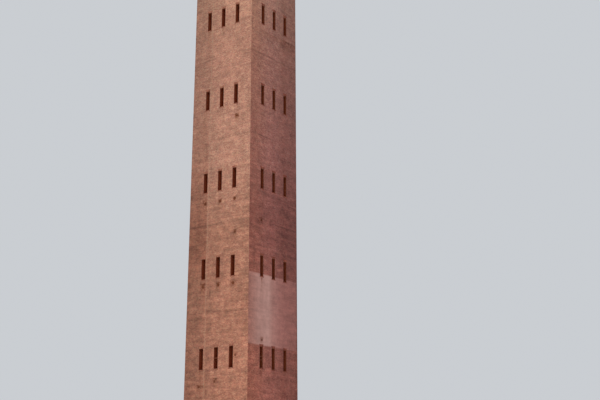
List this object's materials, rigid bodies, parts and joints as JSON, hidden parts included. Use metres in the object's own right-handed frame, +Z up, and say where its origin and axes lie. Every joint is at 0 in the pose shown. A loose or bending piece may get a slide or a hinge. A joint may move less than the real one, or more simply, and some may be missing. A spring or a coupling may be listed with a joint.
{
  "type": "hydraulic accumulator tower, 1:10 scale model",
  "caption": "Square tapering brick accumulator tower with rows of slit openings, a corbelled gallery, an upper turret, an eight-sided lantern and a dome, as a 1:10 model.",
  "frame": {"origin": "centre of the tower's foot, at ground level", "axes": "+Z up along the tower, -Y out of the front with the doorway, +X to the right"},
  "size_m": [0.988, 0.988, 9.42],
  "materials": {
    "brickwork": "weathered red-brown stock brick in lime mortar",
    "dressed_stone": "dressed sandstone, sooted",
    "floor_slab": "worn stone flags",
    "door_timber": "dark green painted boards",
    "lead_sheet": "dull grey lead sheet",
    "wrought_iron": "blackened wrought iron"
  },
  "bodies": {
    "root": {"lower_front_wall": "brickwork", "lower_right_wall": "brickwork", "lower_back_wall": "brickwork", "lower_left_wall": "brickwork", "upper_front_wall": "brickwork", "upper_right_wall": "brickwork", "upper_back_wall": "brickwork", "upper_left_wall": "brickwork", "stone_plinth": "dressed_stone", "ground_floor": "floor_slab", "floor_1": "floor_slab", "floor_2": "floor_slab", "floor_3": "floor_slab", "floor_4": "floor_slab", "floor_5": "floor_slab", "floor_6": "floor_slab", "floor_7": "floor_slab", "doorway_surround": "dressed_stone", "door_leaf_left": "door_timber", "door_leaf_right": "door_timber", "door_step": "dressed_stone", "gallery_corbels_front": "brickwork", "gallery_corbels_right": "brickwork", "gallery_corbels_back": "brickwork", "gallery_corbels_left": "brickwork", "gallery_parapet_front": "brickwork", "gallery_parapet_right": "brickwork", "gallery_parapet_back": "brickwork", "gallery_parapet_left": "brickwork", "gallery_deck": "floor_slab", "turret_front_wall": "brickwork", "turret_right_wall": "brickwork", "turret_back_wall": "brickwork", "turret_left_wall": "brickwork", "turret_parapet_front": "brickwork", "turret_parapet_right": "brickwork", "turret_parapet_back": "brickwork", "turret_parapet_left": "brickwork", "turret_roof": "floor_slab", "lantern_drum": "brickwork", "lantern_arcade": "brickwork", "lantern_cornice": "dressed_stone", "lantern_dome": "lead_sheet", "finial": "wrought_iron"}
  },
  "joints": []
}
